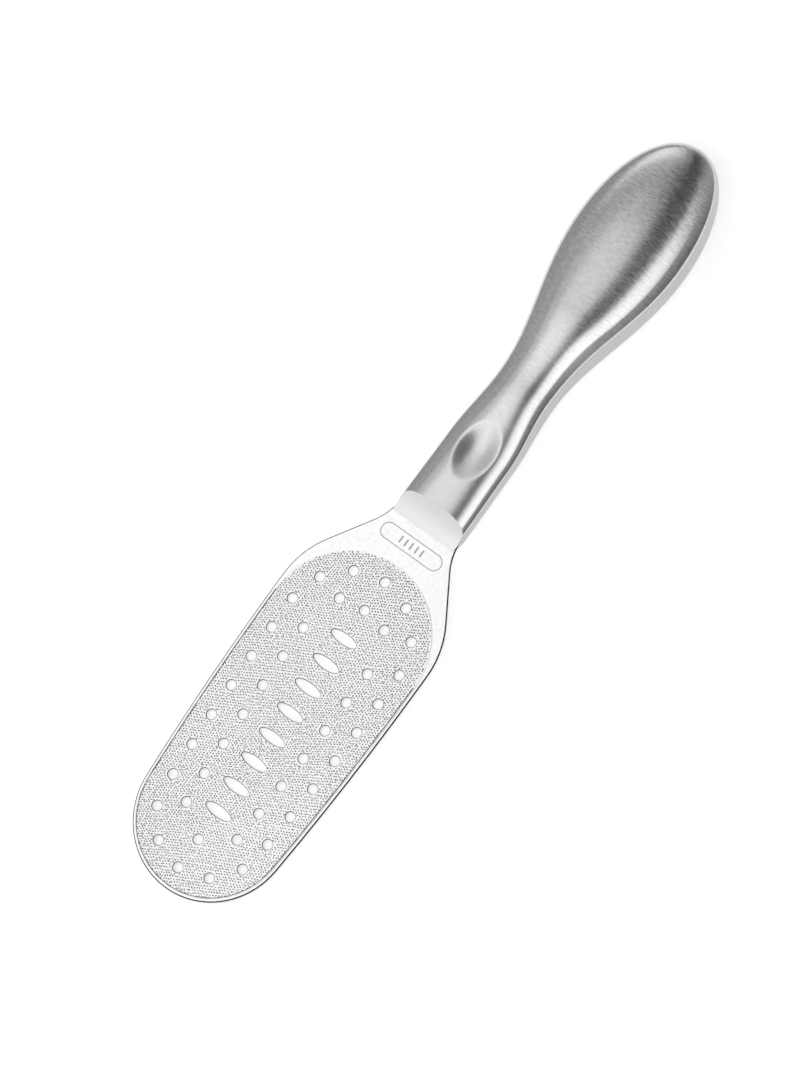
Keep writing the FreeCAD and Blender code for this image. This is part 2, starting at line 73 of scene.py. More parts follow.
# Radii and lengths of the ring's arcs on one side, from the heel to the tip
HEEL_RING_RADIUS = HEEL_HALF_WIDTH - RING_INSET
SIDE_RING_RADIUS = SIDE_RADIUS - RING_INSET
TIP_RING_RADIUS = TIP_RADIUS - RING_INSET
HEEL_RUN = HEEL_RING_RADIUS * math.pi / 2
SIDE_RUN = SIDE_RING_RADIUS * (SIDE_ANGLE - math.pi / 2)
TIP_RUN = TIP_RING_RADIUS * (math.pi - SIDE_ANGLE)
RING_RUN = HEEL_RUN + SIDE_RUN + TIP_RUN

# Engraved grit mark on the neck of the blade
BADGE_X = 119.78
BADGE_HEIGHT = 5.1
BADGE_DEPTH = 0.12
BADGE_REACH = 0.6

# Handle: half width, side wall, crown rise and fullness of its section at stations along it
MOUTH_X = 130.57
GRIP_NECK_X = 152.57
WAIST_X = 175.27
SWELL_X = 200.92
BULB_X = 226.57
TOOL_LENGTH = 260.07
WIDTHS = ((MOUTH_X, 11.2), (GRIP_NECK_X, 11.0), (WAIST_X, 9.2), (BULB_X, 17.9))
WALLS = ((MOUTH_X, 1.7), (GRIP_NECK_X, 1.7), (WAIST_X, 2.6), (SWELL_X, 3.7), (BULB_X, 3.0))
RISES = ((MOUTH_X, 2.4), (GRIP_NECK_X, 2.7), (WAIST_X, 3.2), (SWELL_X, 4.0), (BULB_X, 5.0))
FULLNESS = ((MOUTH_X, 2.5), (GRIP_NECK_X, 2.4), (WAIST_X, 2.2))
END_FULLNESS = 2.1
SHELL_WALL = 1.0
RAMP_RADIUS = 18.0
RAMP_X = 123.3
RAMP_REACH = 0.95
NOSE_X = 125.38
DIMPLE_LENGTH = 18.0
DIMPLE_WIDTH = 12.0
DIMPLE_DEPTH = 0.85
DIMPLE_REACH = 1.06
DIMPLE_RIM = 1.3

# Fineness of the handle's mesh; rows fan out from the ramp's arched edge over the length FAN_OUT
CROWN_STEPS = 96
WALL_STEPS = 5
END_STEPS = 44
RAMP_STEPS = 16
HALVINGS = 40
GRIP_PITCH = 0.6
MOUTH_STEP = 0.02
FAN_OUT = 26.0
CAVITY_PITCH = 1.6
CAVITY_END = 0.93
CUT_BELOW = 1.0
SHARP_ANGLE = 28

# File teeth: pitch, width and height in mm, and the form of one tooth
COARSE_TEETH = {"pitch": 0.86, "width": 0.5, "height": 0.16}
FINE_TEETH = {"pitch": 0.66, "width": 0.36, "height": 0.1}
TOOTH_SIDES = 8
TOOTH_STRETCH = 1.3
TOOTH_SINK = 0.03
TOOTH_LEAN = 0.4
TOOTH_SIZES = (0.8, 1.2)
SIZE_SEED = 11

# How the teeth are laid: shares of the pitch, and waves in radians per mm along x and y
TOOTH_JITTER = 0.17
TOOTH_WANDER = 0.9
WANDER_X = (0.07, 0.13)
WANDER_Y = (0.11, -0.05)
EDGE_ROOM = 0.4
HOLE_ROOM = 0.3
BORDER_SHARE = 0.62
SPARE_TEETH = 4
PLACE_SEED = 7

# Border row of teeth: inset in mm, and a step ahead in hole gaps that gives each tooth its heading
BORDER_INSET = 0.3
BORDER_LOOK_AHEAD = 0.01

# Materials: noise scales per metre, greys from dark to light, reliefs as strength and depth in metres
BRUSH_LINES = {"scale": 3400, "detail": 3.0, "stretch": (1, 0.14, 0.14)}
FINE_LINES = {"scale": 7000, "detail": 2.0, "stretch": (1, 0.16, 0.16)}
FINE_SHARE = 0.5
LINE_RANGE = (0.55, 0.95)
FAINT_BRUSHING = 0.25
# Greys of the handle's crown, and darker greys painted on its side walls as shade
CROWN_GREYS = (0.57, 0.68)
SIDE_WALL_SHADE_GREYS = (0.44, 0.48)
SIDE_WALL_FACING = (0.15, 0.4)
BRUSHED_ROUGHNESS = (0.18, 0.26)
BRUSHED_RELIEF = (0.09, 0.00002)
SMOOTH_RELIEF = (0.015, 0.00002)
MATTE_RELIEF = (0.2, 0.00005)
CLOUD_DETAIL = 5.0
GRAIN_RANGE = (0.3, 0.7)
# Faces slanted like a chamfer, within a spread of this facing, are painted a darker grey as shade
CHAMFER_FACING = math.sqrt(0.5)
CHAMFER_SPREAD = 0.06
ETCHED_GREY = 0.35

# Studio: levels of the world by direction, with -1 to the tool's right and 1 to its left
SKY_WALLS = ((-1.0, 0.15), (-0.85, 0.17), (-0.6, 0.3), (-0.25, 0.46), (0.3, 0.46), (0.6, 0.4), (1.0, 0.4))
GAP_MIDDLE = 0.07
GAP_HEADING = 0.19
GAP_EDGE = (0.13, 0.27)
GAP_LEVEL = 0.15
TIP_EDGE = (-0.2, -0.5)
TIP_LEVEL = 0.8
HORIZON_TOP = 0.04
FLOOR_REACH = 3.0
FLOOR_GREY = 0.8
FLOOR_ROUGHNESS = 0.9
FLOOR_LIFT = 0.56

# Camera in the tool's frame: angles in degrees, pitch as a slope, place in mm
CAMERA_LENS = 174.26
CAMERA_SENSOR = 36.0
CAMERA_TILT = 18.969
CAMERA_PITCH = -0.02848
CAMERA_ROLL = 36.017
CAMERA_PLACE = (81.38, -473.3, 1392.81)
CAMERA_CLIP = (0.05, 20)


# Where the tool lies

FACES_UP = 0.9


def tool_axes():
    """Matrix from the tool's frame in mm to the row frame in metres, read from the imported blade."""
    up = Vector()
    for face in nodes["coarse_file_sheet"].data.polygons:
        if face.normal.z > FACES_UP:
            up += face.normal * face.area
    turn = math.atan2(-up.x, up.z)
    cosine, sine = math.cos(turn), math.sin(turn)
    points = [vertex.co for vertex in nodes["blade_plate"].data.vertices]
    tip = min(point.x * cosine + point.z * sine for point in points)
    heights = [point.z * cosine - point.x * sine for point in points]
    middle = (min(heights) + max(heights)) / 2
    origin = Vector((tip * cosine - middle * sine, 0, tip * sine + middle * cosine))
    return Matrix.Translation(origin) @ Matrix.Rotation(-turn, 4, "Y") @ Matrix.Scale(MM, 4)


TOOL = tool_axes()
TOOL_UP = TOOL.to_3x3() @ Vector((0, 0, 1 / MM))


def row_x(x):
    """The row frame's x in metres of a place on the tool's axis."""
    return (TOOL @ Vector((x, 0, 0))).x


# Meshes

class Builder:
    """Collects points and faces of one mesh."""

    def __init__(self):
        self.points, self.faces = [], []

    def add(self, x, y, z):
        self.points.append((x, y, z))
        return len(self.points) - 1

    def grid(self, rows):
        for upper, lower in zip(rows, rows[1:]):
            for k in range(len(upper) - 1):
                self.faces.append((upper[k], upper[k + 1], lower[k + 1], lower[k]))

    def fan(self, rim, point):
        for first, second in zip(rim, rim[1:] + rim[:1]):
            self.faces.append((first, second, point))


def closed_mesh(name, form, height_sign=1):
    """An object from a closed form in the tool's frame, with its faces turned outwards."""
    mesh = bpy.data.meshes.new(name)
    mesh.from_pydata([TOOL @ Vector((x, y, height_sign * z)) for x, y, z in form.points], [], form.faces)
    mesh.validate()
    mesh.update()
    piece = bpy.data.objects.new(name, mesh)
    bpy.context.scene.collection.objects.link(piece)
    shape = bmesh.new()
    shape.from_mesh(mesh)
    bmesh.ops.recalc_face_normals(shape, faces=shape.faces)
    shape.to_mesh(mesh)
    shape.free()
    return piece


# Handle

def blend(x, stations):
    """A smooth profile through stations of position and height, level at each of them."""
    for (x0, y0), (x1, y1) in zip(stations, stations[1:]):
        if x <= x1:
            share = max(0.0, (x - x0) / (x1 - x0))
            return y0 + (y1 - y0) * (1 - math.cos(math.pi * share)) / 2
    return stations[-1][1]


def end_scale(x, inset):
    """How much of the section is left at x, where the handle rounds off behind the bulb."""
    share = max(0.0, (x - BULB_X) / (TOOL_LENGTH - BULB_X - inset))
    return max(0.0, 1 - share**END_FULLNESS) ** (1 / END_FULLNESS)


def grip_profile(x, inset=0.0):
    """Half width, side wall and crown rise of the handle at x, for the outside or moved in from it."""
    scale = end_scale(x, inset)
    half_width = (blend(x, WIDTHS) - inset) * scale
    wall = (blend(x, WALLS) - inset / 2) * scale
    rise = (blend(x, RISES) - inset / 2) * scale
    return half_width, wall, rise


def over_the_top(x, inset=0.0):
    """Points (y, z) of a section from the right wall's top over the crown to the left wall's top."""
    half_width, wall, rise = grip_profile(x, inset)
    power = 2 / blend(x, FULLNESS)
    points = []
    for step in range(CROWN_STEPS + 1):
        angle = math.pi * (step / CROWN_STEPS - 0.5)
        out, up = math.sin(angle), max(0.0, math.cos(angle))
        points.append((math.copysign(half_width * abs(out) ** power, out), wall + rise * up**power))
    return points


def ramp_height(x):
    """Height of the scooped ramp, an arc that rises from the blade's face."""
    return HALF_CORE + RAMP_RADIUS - math.sqrt(RAMP_RADIUS**2 - (x - RAMP_X) ** 2)


def meets_ramp(row):
    """The x at which the rising ramp reaches a row of the handle's crown."""
    low, high = NOSE_X, RAMP_X + RAMP_REACH * RAMP_RADIUS
    for _ in range(HALVINGS):
        middle = (low + high) / 2
        if ramp_height(middle) < over_the_top(middle)[row][1]:
            low = middle
        else:
            high = middle
    return high


def pressed(x, y, z):
    """Sinks the shallow thumb dimple into the crown, with a slightly rounded rim."""
    out = math.hypot((x - GRIP_NECK_X) / (DIMPLE_LENGTH / 2), y / (DIMPLE_WIDTH / 2)) / DIMPLE_REACH
    return z - DIMPLE_DEPTH * max(0.0, 1 - out * out) ** DIMPLE_RIM


def spaced(start, stop, pitch):
    """Even places from start up to, but without, stop."""
    count = max(1, round((stop - start) / pitch))
    return [start + (stop - start) * step / count for step in range(count)]


def grip_columns(start):
    """Positions along the handle: a step at the mouth, and closer together towards the round end."""
    columns = spaced(start, MOUTH_X, GRIP_PITCH) + [MOUTH_X]
    columns += spaced(MOUTH_X + MOUTH_STEP, BULB_X, GRIP_PITCH)
    for step in range(END_STEPS):
        turned = math.sin(math.pi / 2 * step / END_STEPS) ** (2 / END_FULLNESS)
        columns.append(BULB_X + (TOOL_LENGTH - BULB_X) * turned)
    return columns


def shell_block():
    """The front half of the handle as a closed block, with its ramp and dimple, and the ramp's faces."""
    form = Builder()
    row_count = CROWN_STEPS + 1
    starts = [meets_ramp(row) for row in range(row_count)]
    side_top = starts[0]
    columns = grip_columns(side_top)

    # Top of the handle: every row starts on the ramp's edge, and all share the same columns further on
    top_rows = []
    for row in range(row_count):
        line = []
        for column in columns:
            near = max(0.0, 1 - (column - side_top) / FAN_OUT)
            x = column + (starts[row] - side_top) * near**2
            y, z = over_the_top(x)[row]
            line.append(form.add(x, y, pressed(x, y, z)))
        top_rows.append(line)
    form.grid(top_rows)

    # Side walls: they stand on the blade up to the mouth, and reach the seam behind it
    ramp_columns = spaced(NOSE_X, side_top, (side_top - NOSE_X) / RAMP_STEPS)
    walls = []
    for side, top_line in ((-1, top_rows[0]), (1, top_rows[-1])):
        lines = []
        for step in range(WALL_STEPS):
            line = []
            for x in ramp_columns + columns:
                half_width, wall, _ = grip_profile(x)
                low = HALF_CORE if x <= MOUTH_X else 0.0
                high = ramp_height(x) if x < side_top else wall
                line.append(form.add(x, side * half_width, low + (high - low) * step / WALL_STEPS))
            lines.append(line)
        ramp_edge = [form.add(x, side * grip_profile(x)[0], ramp_height(x)) for x in ramp_columns]
        lines.append(ramp_edge + top_line)
        form.grid(lines)
        walls.append(lines)
    right, left = walls

    # Ramp: rows between its two side edges that end on the arched edge of the crown
    last_on_ramp = len(ramp_columns)
    ramp_rows = [right[-1][: last_on_ramp + 1]]
    for row in range(1, row_count - 1):
        y = over_the_top(starts[row])[row][0]
        line = []
        for column in ramp_columns:
            x = NOSE_X + (starts[row] - NOSE_X) * (column - NOSE_X) / (side_top - NOSE_X)
            line.append(form.add(x, y, ramp_height(x)))
        ramp_rows.append(line + [top_rows[row][0]])
    ramp_rows.append(left[-1][: last_on_ramp + 1])
    first_face = len(form.faces)
    form.grid(ramp_rows)
    ramp_faces = range(first_face, len(form.faces))

    # Nose, underside and round end
    nose = [line[0] for line in right[:-1]] + [line[0] for line in ramp_rows]
    form.faces.append(nose + [line[0] for line in reversed(left[:-1])])
    form.grid([right[0], left[0]])
    rim = [line[-1] for line in right[:-1]] + [line[-1] for line in top_rows]
    rim += [line[-1] for line in reversed(left[:-1])]
    form.fan(rim, form.add(TOOL_LENGTH, 0, 0))
    return form, ramp_faces


def cavity_block():
    """The room inside one shell, carried a little through the seam so that it cuts cleanly."""
    form = Builder()
    start = MOUTH_X + SHELL_WALL
    stop = BULB_X + (TOOL_LENGTH - BULB_X - SHELL_WALL) * CAVITY_END
    count = round((stop - start) / CAVITY_PITCH)
    rings = []
    for step in range(count + 1):
        x = start + (stop - start) * step / count
        half_width = grip_profile(x, SHELL_WALL)[0]
        under_ramp = math.inf
        if x - RAMP_X < RAMP_RADIUS:
            reach = (RAMP_RADIUS + SHELL_WALL) ** 2 - (x - RAMP_X) ** 2
            under_ramp = HALF_CORE + RAMP_RADIUS - math.sqrt(reach)
        ring = [form.add(x, half_width, -CUT_BELOW), form.add(x, -half_width, -CUT_BELOW)]
        for y, z in over_the_top(x, SHELL_WALL):
            ring.append(form.add(x, y, min(pressed(x, y, z + SHELL_WALL) - SHELL_WALL, under_ramp)))
        rings.append(ring + [ring[0]])
    form.grid(rings)
    form.faces.append(rings[0][:-1])
    form.faces.append(rings[-1][:-1])
    return form


def mark_brush_direction(mesh):
    """A UV map whose U runs along the tool, so that the gloss stretches across the brushing."""
    to_tool = TOOL.inverted()
    brush = mesh.uv_layers.new(name="brush")
    for loop in mesh.loops:
        x, y, z = to_tool @ mesh.vertices[loop.vertex_index].co
        brush.data[loop.index].uv = (x / TOOL_LENGTH, math.atan2(y, z) / math.pi)


def make_shell(name, node, height_sign, materials):
    """One hollow half of the handle; its ramp wears the second of the two materials."""
    block, ramp_faces = shell_block()
    shell = closed_mesh(name, block, height_sign)
    for material in materials:
        shell.data.materials.append(material)
    for face in ramp_faces:
        shell.data.polygons[face].material_index = 1
    cavity = closed_mesh(name + "_room", cavity_block(), height_sign)
    hollow = shell.modifiers.new("hollow", "BOOLEAN")
    hollow.operation = "DIFFERENCE"
    hollow.solver = "EXACT"
    hollow.object = cavity
    bpy.context.view_layer.update()
    depsgraph = bpy.context.evaluated_depsgraph_get()
    result = bpy.data.meshes.new_from_object(shell.evaluated_get(depsgraph))
    shell.modifiers.clear()
    solid = shell.data
    shell.data = result
    bpy.data.meshes.remove(solid)
    bpy.data.objects.remove(cavity)
    result.name = name
    result.polygons.foreach_set("use_smooth", [True] * len(result.polygons))
    result.set_sharp_from_angle(angle=math.radians(SHARP_ANGLE))
    mark_brush_direction(result)
    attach(shell, "root")
    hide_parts(node)


# File faces

def ring_point(gap, moved_in=0.0):
    """A place on the ring of holes, counted in equal gaps from the heel, optionally moved in from it."""
    along = gap * RING_RUN / RING_GAPS
    if along <= HEEL_RUN:
        centre, radius = (HEEL_X, 0.0), HEEL_RING_RADIUS
        angle = along / radius
    elif along <= HEEL_RUN + SIDE_RUN:
        centre, radius = SIDE_CENTRE, SIDE_RING_RADIUS
        angle = math.pi / 2 + (along - HEEL_RUN) / radius
    else:
        centre, radius = (TIP_RADIUS, 0.0), TIP_RING_RADIUS
        angle = SIDE_ANGLE + (along - HEEL_RUN - SIDE_RUN) / radius
    reach = radius - moved_in
    return centre[0] + reach * math.cos(angle), centre[1] + reach * math.sin(angle)


def hole_centres():
    """Places of the round holes and, apart from them, of the ovals on the axis."""
    first = TIP_RADIUS + OVAL_START
    ovals = [first + number * (HEEL_X - first) / (OVAL_COUNT - 1) for number in range(OVAL_COUNT)]
    upper = [ring_point(gap) for gap in range(1, RING_GAPS)]
    upper += [ring_point(gap + STAGGER, INNER_ROW_INSET) for gap in INNER_ROW_GAPS]
    heel_end, tip_end = ring_point(0)[0], ring_point(RING_GAPS)[0]
    on_axis = (heel_end, (heel_end + ovals[-1]) / 2, (tip_end + ovals[0]) / 2, tip_end)
    return upper + [(x, -y) for x, y in upper] + [(x, 0.0) for x in on_axis], ovals


def edge_distance(x, y):
    """How far a place lies inside the blade's edge, over the part that carries the file sheets."""
    y = abs(y)
    if x >= HEEL_X:
        return HEEL_HALF_WIDTH - math.hypot(x - HEEL_X, y)
    angle = math.atan2(y - SIDE_CENTRE[1], x - SIDE_CENTRE[0])
    if angle <= SIDE_ANGLE:
        return SIDE_RADIUS - math.hypot(x - SIDE_CENTRE[0], y - SIDE_CENTRE[1])
    return TIP_RADIUS - math.hypot(x - TIP_RADIUS, y)


def clear_of_holes(x, y, holes, ovals, room):
    """Whether a place lies outside every hole and oval, with some room to spare."""
    for hole_x, hole_y in holes:
        if math.hypot(x - hole_x, y - hole_y) < HOLE_RADIUS + room:
            return False
    for oval_x in ovals:
        across, along = y / (OVAL_HALF_LENGTH + room), (x - oval_x) / (OVAL_HALF_WIDTH + room)
        if math.hypot(across, along) < 1:
            return False
    return True


def wander(x, y, waves, dice):
    """A tooth's shift off its even place, in pitches: a slow wave and a random part."""
    return TOOTH_WANDER * math.sin(waves[0] * x + waves[1] * y) + TOOTH_JITTER * dice.uniform(-1, 1)


def tooth_places(pitch):
    """Rows of teeth that wander like the grain of a cut file, each with its heading."""
    holes, ovals = hole_centres()
    dice = random.Random(PLACE_SEED)
    places = []
    row_gap = pitch * math.sqrt(3) / 2
    rows = int(2 * HEEL_HALF_WIDTH / row_gap) + 2 * SPARE_TEETH
    length = int((HEEL_X + HEEL_HALF_WIDTH) / pitch) + 2 * SPARE_TEETH
    for row in range(-rows // 2, rows // 2 + 1):
        for number in range(-SPARE_TEETH, length):
            x = pitch * (number + 0.5 * (row % 2))
            y = row_gap * row
            x += pitch * wander(x, y, WANDER_X, dice)
            y += pitch * wander(x, y, WANDER_Y, dice)
            if edge_distance(x, y) < SHEET_MARGIN + EDGE_ROOM * pitch:
                continue
            if clear_of_holes(x, y, holes, ovals, HOLE_CHAMFER + HOLE_ROOM * pitch):
                places.append((x, y, dice.uniform(0, math.pi)))
    return places


def border_places(pitch):
    """A close row of teeth along the sheet's edge, down both sides and round the tip."""
    moved_out = RING_INSET - SHEET_MARGIN - BORDER_INSET
    count = round((HEEL_X + TIP_RADIUS) / (BORDER_SHARE * pitch))
    start = RING_GAPS * HEEL_RUN / RING_RUN
    places = []
    for number in range(count + 1):
        gap = start + (RING_GAPS - start) * number / count
        x, y = ring_point(gap, -moved_out)
        ahead_x, ahead_y = ring_point(min(RING_GAPS, gap + BORDER_LOOK_AHEAD), -moved_out)
        heading = math.atan2(ahead_y - y, ahead_x - x)
        places += [(x, y, heading), (x, -y, -heading)]
    return places


def make_teeth(name, slot, height_sign, pitch, width, height):
    """The stipple of one file face: low pointed teeth, each a closed form sunk a little into its sheet."""
    form = Builder()
    dice = random.Random(SIZE_SEED)
    for x, y, heading in tooth_places(pitch) + border_places(pitch):
        along = Vector((math.cos(heading), math.sin(heading)))
        across = Vector((-along.y, along.x))
        long = width / 2 * TOOTH_STRETCH * dice.uniform(*TOOTH_SIZES)
        short = width / 2 * dice.uniform(*TOOTH_SIZES)
        base = []
        for side in range(TOOTH_SIDES):
            angle = 2 * math.pi * side / TOOTH_SIDES
            reach = along * long * math.cos(angle) + across * short * math.sin(angle)
            base.append(form.add(x + reach.x, y + reach.y, height_sign * (HALF_STACK - TOOTH_SINK)))
        tip = along * long * TOOTH_LEAN
        top = form.add(x + tip.x, y + tip.y, height_sign * (HALF_STACK + height))
        form.faces.append(base)
        form.fan(base, top)
    teeth = closed_mesh(name, form)
    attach(teeth, "root")
    return teeth


# Shader nodes

def add_node(tree, kind, settings=None, **inputs):
    """A shader node; its inputs, values or sockets, go by name with underscores or by number, as in i0."""
    made = tree.nodes.new(kind)
    for key, value in (settings or {}).items():
        setattr(made, key, value)
    for key, value in inputs.items():
        numbered = key[0] == "i" and key[1:].isdigit()
        socket = made.inputs[int(key[1:]) if numbered else key.replace("_", " ")]
        if isinstance(value, bpy.types.NodeSocket):
            tree.links.new(value, socket)
        else:
            socket.default_value = value
    return made


def calculate(tree, operation, *values):
    """The result of a math node."""
    inputs = {f"i{number}": value for number, value in enumerate(values)}
    return add_node(tree, "ShaderNodeMath", {"operation": operation}, **inputs).outputs[0]


def along_tool_up(tree, vector):
    """The part of a vector along the tool's own up direction."""
    return add_node(
        tree, "ShaderNodeVectorMath", {"operation": "DOT_PRODUCT"}, i0=vector, i1=TOOL_UP,
    ).outputs["Value"]


def mix_colours(tree, share, first, second):
    settings = {"data_type": "RGBA"}
    return add_node(tree, "ShaderNodeMix", settings, Factor=share, i6=first, i7=second).outputs[2]


def mix_values(tree, share, first, second):
    settings = {"data_type": "FLOAT"}
    return add_node(tree, "ShaderNodeMix", settings, Factor=share, A=first, B=second).outputs[0]


def spread(tree, value, to_range, from_range=GRAIN_RANGE):
    """Maps a value from one range onto another and holds it there."""
    return add_node(
        tree, "ShaderNodeMapRange", Value=value,
        From_Min=from_range[0], From_Max=from_range[1], To_Min=to_range[0], To_Max=to_range[1],
    ).outputs[0]


def place_on_part(tree):
    return add_node(tree, "ShaderNodeTexCoord").outputs["Object"]


def grain(tree, scale, detail, stretch=(1.0, 1.0, 1.0)):
    """Noise in the object's own frame, stretched along chosen axes; scale counts per metre."""
    scales = [scale * part for part in stretch]
    mapped = add_node(tree, "ShaderNodeMapping", Vector=place_on_part(tree), Scale=scales).outputs[0]
    return add_node(tree, "ShaderNodeTexNoise", Vector=mapped, Scale=1.0, Detail=detail).outputs["Fac"]


def tint(tree, value, dark, light):
    """A colour between dark and light that follows a grain."""
    ramp = add_node(tree, "ShaderNodeValToRGB", Fac=value)
    for element, position, colour in zip(ramp.color_ramp.elements, GRAIN_RANGE, (dark, light)):
        element.position = position
        element.color = (*colour, 1)
    return ramp.outputs["Color"]


def bump(tree, height, strength, distance):
    node = add_node(tree, "ShaderNodeBump", Height=height, Strength=strength, Distance=distance)
    return node.outputs["Normal"]


def upright(tree):
    """How squarely a surface faces the tool's front or back: 1 on the flats, 0 on the side walls."""
    normal = add_node(tree, "ShaderNodeNewGeometry").outputs["True Normal"]
    return calculate(tree, "ABSOLUTE", along_tool_up(tree, normal))


# Materials

def steel(level, cool=0.005):
    """A grey that is a touch cooler than neutral."""
    return level, level, level + cool


def new_material(name, metallic=0.0):
    material = bpy.data.materials.new(name)
    material.use_nodes = True
    tree = material.node_tree
    shader = tree.nodes["Principled BSDF"]
    shader.inputs["Metallic"].default_value = metallic
    return material, tree, shader


def dress(tree, shader, colour, roughness, normal):
    tree.links.new(colour, shader.inputs["Base Color"])
    tree.links.new(roughness, shader.inputs["Roughness"])
    tree.links.new(normal, shader.inputs["Normal"])


def wear_it(piece, material):
    piece.data.materials.clear()
    piece.data.materials.append(material)


def brushed_handle_steel():
    """Steel brushed across the handle: lines that grow stronger to its end, and side walls painted a darker
    grey as shade.
    """
    material, tree, shader = new_material("handle_steel", metallic=1.0)
    broad, fine = grain(tree, **BRUSH_LINES), grain(tree, **FINE_LINES)
    lines = calculate(tree, "MULTIPLY_ADD", fine, FINE_SHARE, broad)
    # Centred on zero while their contrast is scaled, and then moved back to the middle of the range
    lines = spread(tree, lines, (-0.5, 0.5), LINE_RANGE)
    along = add_node(tree, "ShaderNodeSeparateXYZ", Vector=place_on_part(tree)).outputs["X"]
    strength = spread(tree, along, (FAINT_BRUSHING, 1.0), (row_x(GRIP_NECK_X), row_x(TOOL_LENGTH)))
    lines = calculate(tree, "MULTIPLY_ADD", lines, strength, 0.5)
    crown = tint(tree, lines, *[steel(level) for level in CROWN_GREYS])
    # The side walls take darker greys than the crown: painted shade on the faces that turn sideways
    shaded_side_wall = tint(tree, lines, *[steel(level) for level in SIDE_WALL_SHADE_GREYS])
    on_side = spread(tree, upright(tree), (1.0, 0.0), SIDE_WALL_FACING)
    dress(
        tree, shader,
        colour=mix_colours(tree, on_side, crown, shaded_side_wall),
        roughness=spread(tree, lines, BRUSHED_ROUGHNESS, (0, 1)),
        normal=bump(tree, lines, *BRUSHED_RELIEF),
    )
    tangent = add_node(tree, "ShaderNodeTangent", {"direction_type": "UV_MAP", "uv_map": "brush"})
    tree.links.new(tangent.outputs[0], shader.inputs["Tangent"])
    shader.inputs["Anisotropic"].default_value = 1.0
    return material


def etched_mask(tree):
    """1 on the floor of the engraved grit marks, 0 elsewhere."""
    place = place_on_part(tree)
    height = calculate(tree, "SUBTRACT", along_tool_up(tree, place), TOOL.translation.dot(TOOL_UP))
    from_middle = calculate(tree, "ABSOLUTE", height)
    floor_height, half_depth = (HALF_CORE - BADGE_DEPTH) * MM, BADGE_DEPTH / 2 * MM
    at_floor = calculate(tree, "COMPARE", from_middle, floor_height, half_depth)
    along = add_node(tree, "ShaderNodeSeparateXYZ", Vector=place).outputs["X"]
    at_mark = calculate(tree, "COMPARE", along, row_x(BADGE_X), BADGE_REACH * BADGE_HEIGHT * MM)
    return calculate(tree, "MULTIPLY", at_floor, at_mark)


def plate_material(name, dark, light, roughness, grain_scale, chamfer_shade_colour, chamfer_roughness):
    """Smooth steel whose chamfers are painted a darker grey as shade and get their own roughness, with a
    darker floor in the etched grit marks.
    """
    material, tree, shader = new_material(name, metallic=1.0)
    cloud = grain(tree, grain_scale, CLOUD_DETAIL)
    # Chamfers take a painted shade colour in place of the steel's grey
    on_chamfer = calculate(tree, "COMPARE", upright(tree), CHAMFER_FACING, CHAMFER_SPREAD)
    edged = mix_colours(tree, on_chamfer, tint(tree, cloud, dark, light), (*chamfer_shade_colour, 1))
    dress(
        tree, shader,
        colour=mix_colours(tree, etched_mask(tree), edged, (*steel(ETCHED_GREY), 1)),
        roughness=mix_values(tree, on_chamfer, spread(tree, cloud, roughness), chamfer_roughness),
        normal=bump(tree, cloud, *SMOOTH_RELIEF),
    )
    return material


def plain_material(name, dark, light, roughness, grain_scale, metallic=0.0):
    """A grained metal, or a matte resin or film with a stronger bump."""
    material, tree, shader = new_material(name, metallic)
    cloud = grain(tree, grain_scale, CLOUD_DETAIL)
    relief = SMOOTH_RELIEF if metallic else MATTE_RELIEF
    dress(
        tree, shader,
        colour=tint(tree, cloud, dark, light),
        roughness=spread(tree, cloud, roughness),
        normal=bump(tree, cloud, *relief),
    )
    return material


# Stage, light and camera

def make_floor():
    """A plain white floor that shows as white to the eye and in the metal, and keeps the shadow."""
    corners = [(x * FLOOR_REACH, y * FLOOR_REACH, 0) for x, y in ((-1, -1), (1, -1), (1, 1), (-1, 1))]
    mesh = bpy.data.meshes.new("floor")
    mesh.from_pydata(corners, [], [(0, 1, 2, 3)])
    floor = bpy.data.objects.new("floor", mesh)
    bpy.context.scene.collection.objects.link(floor)
    material, tree, shader = new_material("floor_white")
    shader.inputs["Base Color"].default_value = (FLOOR_GREY, FLOOR_GREY, FLOOR_GREY, 1)
    shader.inputs["Roughness"].default_value = FLOOR_ROUGHNESS
    path = add_node(tree, "ShaderNodeLightPath").outputs
    seen = calculate(tree, "MAXIMUM", path["Is Camera Ray"], path["Is Glossy Ray"])
    seen = calculate(tree, "MAXIMUM", seen, path["Is Transmission Ray"])
    lift = calculate(tree, "MULTIPLY", seen, FLOOR_LIFT)
    glow = add_node(tree, "ShaderNodeEmission", Color=(1, 1, 1, 1), Strength=lift).outputs[0]
    both = add_node(tree, "ShaderNodeAddShader", i0=shader.outputs[0], i1=glow).outputs[0]
    tree.links.new(both, tree.nodes["Material Output"].inputs["Surface"])
    wear_it(floor, material)


def make_softbox(name, place, heading, size, radiance):
    """A rectangular lamp that faces straight down, its long side turned by heading from the tool's axis."""
    light = bpy.data.lights.new(name, "AREA")
    light.shape = "RECTANGLE"
    light.size, light.size_y = size
    light.energy = radiance * math.pi * size[0] * size[1]
    lamp = bpy.data.objects.new(name, light)
    bpy.context.scene.collection.objects.link(lamp)
    lamp.matrix_world = Matrix.Translation(place) @ Matrix.Rotation(math.radians(heading), 4, "Z")
    lamp.visible_camera = False


